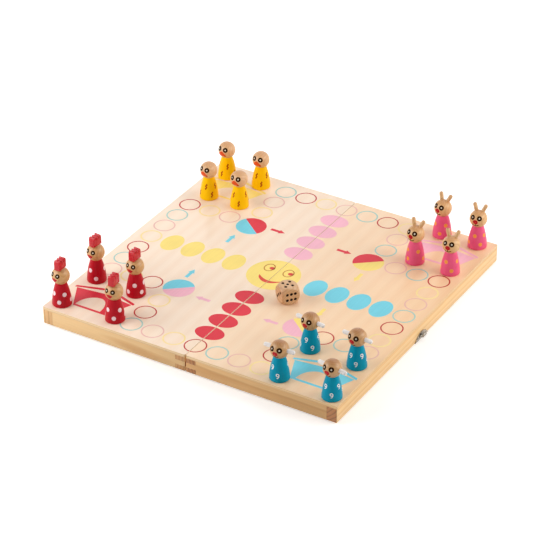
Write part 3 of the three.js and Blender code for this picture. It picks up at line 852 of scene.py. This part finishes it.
# angles in radians from the front and from the level of the head's middle
faces = {
    "hen": {"eyeAzimuth": 0.435, "eyeTilt": 0.39, "eye": 2.12, "glint": 0.62, "tilt": -0.088},
    "duck": {"eyeAzimuth": 0.465, "eyeTilt": 0.416, "eye": 2.4, "glint": 0.7, "tilt": -0.078,
             "corner": (1.15, 0.6), "cornerAzimuth": 0.42, "cornerTilt": -0.408},
    "rabbit": {"eyeAzimuth": 0.48, "eyeTilt": 0.489, "eye": 2.4, "glint": 0.7, "tilt": 0.032,
               "nose": (2.4, 2.15), "lip": (-1.9, -3.9), "smileWidth": 3.0, "smileDrop": 4.1},
    "sheep": {"eyeAzimuth": 0.495, "eyeTilt": 0.376, "eye": 2.4, "glint": 0.7, "tilt": -0.09,
              "nose": (2.5, 2.1), "lip": (-1.9, -3.6), "smileWidth": 3.0, "smileDrop": 3.8},
}
glintLift = 0.05
cornerLift = 0.03
lips = {"lipWidth": 0.7, "smileStroke": 0.9, "smileRise": 1.3}


def eyes(target, look):
    marks = []
    for side in (-1, 1):
        azimuth = side * look["eyeAzimuth"]
        for radius, tone, lift in ((look["eye"], darkLacquer, 0), (look["glint"], glintLacquer, glintLift)):
            marks.append(paintOn(dab(radius, radius), target, tone, look["eyeTilt"], azimuth, lift=lift))
    return marks


def beak(target, look):
    mark = leaf(length=6.4, above=1.3, below=3.4, fullAbove=0.5, fullBelow=0.75)
    return [paintOn(mark, target, noseLacquer, look["tilt"])]


def bill(target, look):
    # with a brown dab in each corner
    mark = leaf(length=8.4, above=2.4, below=2.9, fullAbove=0.55, fullBelow=0.5, sag=2.3)
    marks = [paintOn(mark, target, billLacquer, look["tilt"])]
    for side in (-1, 1):
        marks.append(paintOn(dab(*look["corner"]), target, brownLacquer, look["cornerTilt"],
                             side * look["cornerAzimuth"], lift=cornerLift))
    return marks


def muzzle(target, look):
    # a nose, the lip's line below it, and a smile whose ends turn up
    top, bottom = look["lip"]
    lip = stroke(lambda along: (0, top + (bottom - top) * along), lips["lipWidth"], steps=4)
    line = stroke(lambda along: (
        (along * 2 - 1) * look["smileWidth"], -look["smileDrop"] + lips["smileRise"] * (along * 2 - 1) ** 2,
    ), lips["smileStroke"], steps=14)
    marks = ((dab(*look["nose"]), noseLacquer), (lip, darkLacquer), (line, darkLacquer))
    return [paintOn(mark, target, tone, look["tilt"]) for mark, tone in marks]


# a lock of wool: its tail's foot, bend and top, the tail's share of the whole, and the loop above it
lock = {
    "foot": (-0.6, -2.2), "bend": (1.25, -1.8), "top": (1.25, 0.75), "tail": 0.36, "turn": 330, "end": 1.0,
}
wave = {"reach": 0.6, "turns": 2, "length": 5.4}


def curl(along):
    across, up = lock["top"]
    if along < lock["tail"]:
        share = along / lock["tail"]
        parts = ((1 - share) ** 2, 2 * share * (1 - share), share ** 2)
        points = (lock["foot"], lock["bend"], lock["top"])
        return [sum(part * point[axis] for part, point in zip(parts, points)) for axis in (0, 1)]
    share = (along - lock["tail"]) / (1 - lock["tail"])
    turn = radians(lock["turn"] * share)
    radius = across + (lock["end"] - across) * share
    return (radius * cos(turn), up + radius * sin(turn))


def squiggle(along):
    return (wave["reach"] * sin(along * 2 * wave["turns"] * pi), wave["length"] / 2 - wave["length"] * along)


# what is painted on the bodies, in an upper and a lower row of its own height
bodyMarks = {
    "hen": {"make": lambda: dab(1.95, 2.05), "paint": rosyLacquer, "rows": (12.0, 4.7)},
    "duck": {"make": lambda: stroke(squiggle, 1.1, steps=32), "paint": brownLacquer, "rows": (13.3, 5.4)},
    "rabbit": {"make": lambda: dab(1.8, 1.9), "paint": orangeLacquer, "rows": (13.1, 4.9)},
    "sheep": {"make": lambda: stroke(curl, 0.8, steps=40), "paint": whiteLacquer, "rows": (12.8, 5.6)},
}
bodyLean = radians(8)       # they are laid on from a little above
# their places round each body, in degrees from the side that the photograph shows, upper row and lower row
markPlaces = {
    "hen": [((26, -56, 118, 205), (-12, 75, 165, 255)), ((-43, 78, 198), (0, 115, 240)),
            ((-4, 78, 170, 262), (-49, 41, 130, 222)), ((-51, 41, 132, 222), (-4, 88, 180, 270))],
    "duck": [((-21, 55, 150, 240), (20, 110, 200, 290)), ((5, 95, 190, 275), (-37, 55, 140, 230)),
             ((-36, 49, 140, 230), (2, 95, 185, 270)), ((-47, 59, 150, 225), (-4, 90, 180, 268))],
    "rabbit": [((19, 110, 200, 290), (-53, 56, 150, 220)), ((21, 112, 205, 292), (-20, 75, 165, 250)),
               ((-26, 50, 145, 235), (14, 100, 195, 290)), ((-38, 51, 140, 232), (4, 95, 185, 272))],
    "sheep": [((-55, 82, 195), (-12, 105, 230)), ((-30, 72, 160, 240), (12, 120, 200, 282)),
              ((-49, 32, 125, 215), (-9, 80, 170, 262)), ((-51, 47, 138, 222), (-5, 88, 180, 266))],
}
shownSide = 30.9            # degrees from the board's front to that side
# every face is painted by eye, a few degrees off its ears or comb
faceTurns = {
    "hen": (-14, -4, -1, -6), "duck": (-10, -6, -8, -8), "rabbit": (-4, -6, -1, -3), "sheep": (0, -1, -4, 3),
}


def markedBody(faceMarks, faceTurn, rowMarks, rows, turn):
    # one pawn's own paint: its face, and its marks turned to their places
    marks = [copyOf(faceMarks, "marks")]
    move(marks[0], spun(faceTurn))
    for model, spots in zip(rowMarks, rows):
        for spot in spots:
            mark = copyOf(model, "mark")
            move(mark, spun(spot + shownSide - turn))
            marks.append(mark)
    return joined(marks, "marks")


comb = {
    "thickness": 5.7, "length": 10.6, "height": 9.5, "ridge": 1.66, "ridgeRise": 3.3, "edge": 0.15,
    "seat": 7.5,
}


def combBlock(name):
    # a block with three rounded ridges across its top
    crown = comb["height"] - comb["ridgeRise"]
    piece = newPiece(bpy.ops.mesh.primitive_cube_add, name, (comb["thickness"], comb["length"], crown),
                     size=1, location=(0, 0, crown / 2))
    for place in (-1, 0, 1):
        combine(piece, "UNION", newPiece(
            bpy.ops.mesh.primitive_cylinder_add, "ridge", (comb["ridgeRise"] / comb["ridge"], 1, 1),
            vertices=40, radius=comb["ridge"], depth=comb["thickness"], rotation=(0, pi / 2, 0),
            location=(0, place * (comb["length"] / 2 - comb["ridge"]), crown)))
    mend(piece, 1)
    finishWith(piece, "BEVEL", width=comb["edge"], segments=3, limit_method="ANGLE", angle_limit=radians(60))
    smoothed(piece, 40)
    move(piece, shifted(up=head + comb["seat"] + pawn["stand"]))
    paint(piece, combLacquer)
    return piece


# angles in degrees, and a place on each peg's line, to the side of the head's middle, behind it and above it
ears = {
    "rabbit": {"radius": 1.8, "length": 7.2, "outward": 23, "backward": 18, "root": (3.6, 2.6, 8.2)},
    "sheep": {"radius": 1.9, "length": 6.9, "outward": 90, "backward": 0, "root": (8.2, 0, 0.6)},
}
earRoot = 3                 # how much of a peg lies in the head
earRounding = 0.85          # of its radius


def earPeg(name, look, side, material):
    # a dowel with a turned round end, pressed into the head
    length, radius = look["length"], look["radius"]
    piece = newPiece(bpy.ops.mesh.primitive_cylinder_add, name, vertices=28, radius=radius,
                     depth=length + earRoot, location=(0, 0, (length - earRoot) / 2))
    shape(piece, "EDGE")
    roundEdges(piece, lambda start, end: min(start.z, end.z) > length - level,
               radius * earRounding, segments=7)
    done()
    smoothed(piece)
    outward = radians(look["outward"])
    backward = radians(look["backward"])
    direction = Vector((side * sin(outward), sin(backward), cos(outward))).normalized()
    across, back, rise = look["root"]
    offset = Vector((side * across, back, rise))
    # the peg's line is followed to the surface of the head
    along = offset.dot(direction)
    reach = sqrt(along ** 2 - offset.length_squared + pawn["head"] ** 2) - along
    place = offset + direction * reach + Vector((0, 0, head))
    turn = Vector((0, 0, 1)).rotation_difference(direction).to_matrix().to_4x4()
    move(piece, Matrix.Translation(place) @ turn)
    paint(piece, material)
    return piece


# places from the board's middle, and turns in degrees
places = {
    "hen": [(-138, -136.8, 2), (-133.8, -88.5, -5), (-90.3, -90.3, -3), (-83.1, -134.1, 6)],
    "duck": [(-125.4, 88.2, 1), (-131.1, 129.9, -1), (-93.3, 130.5, 8), (-91.8, 88.5, 5)],
    "rabbit": [(97.8, 85.5, -5), (97.8, 138.9, -8), (134.4, 138.6, 6), (133.8, 85.5, 6)],
    "sheep": [(87, -137.7, 1), (87.9, -87.6, -7), (134.7, -88.8, -5), (139.2, -139.5, -9)],
}
animals = {
    "hen": (redLacquer, honeyBeech, beak, "red_paint"),
    "duck": (yellowLacquer, paleBeech, bill, "yellow_paint"),
    "rabbit": (pinkLacquer, creamBeech, muzzle, "pink_paint"),
    "sheep": (tealLacquer, tanBeech, muzzle, "teal_paint"),
}


def onBoard(piece, across, up, turn):
    settle(piece, (board["middle"] + across, up, board["top"] + pawn["stand"]), turn)


def setOut(model, name, index, place, body, node=None):
    # a copy in its place on the board, with grain of its own
    piece = copyOf(model, name)
    rememberPlace(piece, pawn["grainTurn"] * index, pawn["grainShift"] * index)
    onBoard(piece, *place)
    fit(piece, body, node)


for animal, (lacquered, wood, makeMouth, slot) in animals.items():
    turned = turnedPawn("turned_" + animal)
    paint(turned, lacquered, wood)
    for face in turned.data.polygons:
        face.material_index = 1 if face.center.z > neckHeight else 0
    mouthMarks = makeMouth(turned, faces[animal])
    faceMarks = joined(eyes(turned, faces[animal]) + mouthMarks, "face_" + animal)
    look = bodyMarks[animal]
    rowMarks = [paintOn(look["make"](), turned, look["paint"], bodyLean, height=height)
                for height in look["rows"]]
    extras = {}
    if animal == "hen":
        extras["comb"] = (combBlock("comb_model"), "comb_paint")
    if animal in ears:
        material, earSlot = (turnedBeech, "beech") if animal == "rabbit" else (whiteLacquer, "white_paint")
        for label, side in (("right", 1), ("left", -1)):
            extras["ear_" + label] = (earPeg("ear_model", ears[animal], side, material), earSlot)
    setting = zip(places[animal], faceTurns[animal], markPlaces[animal])
    for index, (place, faceTurn, spots) in enumerate(setting, 1):
        node = animal + "_" + str(index)
        body = animal + "_pawn_" + str(index)
        setOut(turned, node + "_turned", index, place, body, node)
        marks = markedBody(faceMarks, faceTurn, rowMarks, spots, place[2])
        setOut(marks, node + "_marks", index, place, body)
        discard(marks)
        for label, (model, extraSlot) in extras.items():
            setOut(model, node + "_" + label + "_smooth", index, place, body, node + "_" + label)
    for model in [turned, faceMarks] + rowMarks + [extra[0] for extra in extras.values()]:
        discard(model)
    print(animal + " pawns ready")


# The die

die = {
    "side": 17, "ball": 23, "edge": 0.5, "pipFloor": 1.0, "pip": 1.4, "pipDepth": 0.6, "spread": 3.3,
    "sixSpread": 3.8, "sixRow": 2.8, "place": (31.71, -30.72), "turn": 53.5,
}
# which way each count of pips looks, in quarter turns about X and Y
dieFaces = {5: (0, 0), 2: (2, 0), 6: (1, 0), 1: (-1, 0), 3: (0, -1), 4: (0, 1)}


def pipPlaces():
    spread, wide, row = die["spread"], die["sixSpread"], die["sixRow"]
    corners = [(-spread, -spread), (-spread, spread), (spread, -spread), (spread, spread)]
    return {
        1: [(0, 0)],
        2: corners[1:3],
        3: corners[1:3] + [(0, 0)],
        4: corners,
        5: corners + [(0, 0)],
        6: [(across, up) for across in (-wide, 0, wide) for up in (-row, row)],
    }


def makeDie():
    piece = newPiece(bpy.ops.mesh.primitive_cube_add, "die_tumbled", size=die["side"])
    finishWith(piece, "BEVEL", width=die["edge"], segments=4, limit_method="NONE")
    combine(piece, "INTERSECT", newPiece(bpy.ops.mesh.primitive_uv_sphere_add, "ball",
                                         segments=96, ring_count=64, radius=die["ball"] / 2))
    drills = []
    for count, spots in pipPlaces().items():
        pitch, yaw = dieFaces[count]
        for across, up in spots:
            # a cone that reaches as far above the face as below it
            drill = newPiece(bpy.ops.mesh.primitive_cone_add, "drill", vertices=24, radius1=die["pipFloor"],
                             radius2=2 * die["pip"] - die["pipFloor"], depth=2 * die["pipDepth"],
                             location=(across, up, die["side"] / 2))
            move(drill, spun(90 * pitch, "X") @ spun(90 * yaw, "Y"))
            drills.append(drill)
    drills = joined(drills, "drills")
    paint(piece, dieBeech, burntPip)
    paint(drills, dieBeech, burntPip)
    for face in drills.data.polygons:
        face.material_index = 1
    combine(piece, "DIFFERENCE", drills)
    smoothed(piece, 25)
    move(piece, shifted(up=die["side"] / 2))
    rememberPlace(piece)
    onBoard(piece, *die["place"], die["turn"])
    fit(piece, "die_cube", "die")


makeDie()
print("die ready")


# Hinges and latch

hinge = {"places": {"front": -96, "back": 96}, "edge": 0.08, "leafFace": 0.3}
screw = {
    "radius": 1.7, "depth": 0.6, "sunk": 0.25, "edge": 0.08, "slot": (0.5, 0.45, 6),
    "height": 7.2, "spread": 9, "turn": 0.7,
}
latch = {
    "catch_plate": ("right_case", nickelPlate, "nickel_plate"),
    "hasp_plate": ("left_case", nickelPlate, "nickel_plate"),
    "hasp_tongue": ("hasp", nickelPlate, "nickel_plate"),
    "hasp_pin": ("left_case", steelWire, "steel_wire"),
}
latchEdge = 0.12


def screwHead(name):
    # a countersunk head that looks along -X, with a driver slot
    piece = newPiece(bpy.ops.mesh.primitive_cylinder_add, name, vertices=32, radius=screw["radius"],
                     depth=screw["depth"], rotation=(0, -pi / 2, 0), location=(screw["sunk"], 0, 0))
    finishWith(piece, "BEVEL", width=screw["edge"], segments=2, limit_method="ANGLE")
    combine(piece, "DIFFERENCE", newPiece(bpy.ops.mesh.primitive_cube_add, "slot", screw["slot"], size=1))
    smoothed(piece, 30)
    paint(piece, nickelPlate)
    return piece


model = screwHead("screw")
for label, middle in hinge["places"].items():
    for side, turn in (("right", 0), ("left", 180)):
        body = side + "_case"
        leafNode = "hinge_" + label + "_leaf_" + side
        softCopy(leafNode, "_soft", hinge["edge"], nickelPlate, body)
        for number, spread in enumerate((-screw["spread"], screw["spread"]), 1):
            driven = copyOf(model, "screw_" + label + "_" + side + "_" + str(number))
            move(driven, Matrix.Rotation(screw["turn"] * number + radians(turn) / 2, 4, "X"))
            move(driven, spun(turn) @ shifted(hinge["leafFace"], 0, screw["height"]))
            settle(driven, (board["middle"], middle + spread, 0))
            fit(driven, body)
    softCopy("hinge_" + label + "_pin", "_soft", hinge["edge"], steelWire, "right_case")
discard(model)
for node, (body, metal, slot) in latch.items():
    softCopy(node, "_soft", latchEdge, metal, body)
print("metal ready")


# Floor, camera and light

stage = {
    "size": 9000, "drop": 0.15, "floor": "#F2F1EF", "glow": 0.42, "farGlow": 0.9, "near": 350, "far": 1200,
}
view = {
    "azimuth": 30.7399, "elevation": 32.1625, "distance": 2191.542, "aside": 5.4635, "above": 4.3894,
    "lens": 161.6206, "sensor": 36, "shift": -0.02, "reach": 50,
}
# soft boxes as azimuth and elevation (degrees), distance, width and height (m), power (W) and colour
softBoxes = {
    "keyLeft": (-50, 28, 0.9, 0.7, 0.6, 6.0, "#FFFFFF"),
    "fillRight": (110, 30, 1.3, 1.0, 0.8, 11.0, "#FFFAF4"),
    "sheenBack": (215, 18, 1.0, 1.0, 0.4, 1.1, "#FFFFFF"),
    "overBack": (180, 60, 0.85, 0.7, 0.5, 1.6, "#FFFFFF"),
}


def seenIn(add):
    # 1 for what the camera, gloss and glass see, and 0 for what only lights other things
    path = add("LightPath")
    seen = path.outputs["Is Camera Ray"]
    for ray in ("Is Glossy Ray", "Is Transmission Ray"):
        seen = add("Math", {0: seen, 1: path.outputs[ray]}, operation="MAXIMUM")
    return seen


def studioWhite(name, code):
    # a pale floor that is seen a little brighter than it is lit
    material, add, place = newMaterial(name)
    # the lamps fade with distance, and the floor's own glow makes up for it
    away = add("VectorMath", {0: place}, operation="LENGTH")
    glow = add("MapRange", {
        "Value": away, "From Min": stage["near"] * mm, "From Max": stage["far"] * mm,
        "To Min": stage["glow"], "To Max": stage["farGlow"],
    }, interpolation_type="SMOOTHSTEP")
    light = add("Math", {0: seenIn(add), 1: glow}, operation="MULTIPLY")
    paper = add("BsdfDiffuse", {"Color": colour(code), "Roughness": 0.5})
    extra = add("Emission", {"Color": (1, 1, 1, 1), "Strength": light})
    surface = add("AddShader", {0: paper, 1: extra})
    add("OutputMaterial", {"Surface": surface})
    return material


def toward(azimuth, elevation):
    # from the middle of the stage, with azimuth 0 at the front
    return Vector((sin(azimuth) * cos(elevation), -cos(azimuth) * cos(elevation), sin(elevation)))


floor = newPiece(bpy.ops.mesh.primitive_plane_add, "floor",
                 size=stage["size"], location=(0, 0, -stage["drop"]))
settle(floor)
paint(floor, studioWhite("studioFloor", stage["floor"]))

azimuth = radians(view["azimuth"])
elevation = radians(view["elevation"])
backward = toward(azimuth, elevation)
rightward = Vector((cos(azimuth), sin(azimuth), 0))
upward = backward.cross(rightward)
eye = backward * view["distance"] + rightward * view["aside"] + upward * view["above"]
eye += Vector((board["middle"], 0, board["top"]))
bpy.ops.object.camera_add(location=eye * mm, rotation=(pi / 2 - elevation, 0, azimuth))
camera = bpy.context.object
camera.name = "camera"
camera.data.sensor_width = view["sensor"]
camera.data.lens = view["lens"]
camera.data.shift_x = view["shift"]
camera.data.clip_end = view["reach"]
bpy.context.scene.camera = camera

for name, (side, rise, reach, width, height, power, tint) in softBoxes.items():
    turn, lift = radians(side), radians(rise)
    bpy.ops.object.light_add(type="AREA", location=toward(turn, lift) * reach,
                             rotation=(pi / 2 - lift, 0, turn))
    lamp = bpy.context.object
    lamp.name = name
    lamp.data.shape = "RECTANGLE"
    lamp.data.size = width
    lamp.data.size_y = height
    lamp.data.energy = power
    lamp.data.color = colour(tint)[:3]

world = bpy.data.worlds.new("studio")
bpy.context.scene.world = world
world.use_nodes = True
world.node_tree.nodes.clear()
add = partial(addNode, world.node_tree)
brightness = add("MapRange", {"Value": seenIn(add), "To Min": 0.2, "To Max": 1.0})
sky = add("Background", {"Color": (1, 1, 1, 1), "Strength": brightness})
add("OutputWorld", {"Surface": sky})
bpy.context.scene.view_settings.view_transform = "Standard"

print("scene ready")
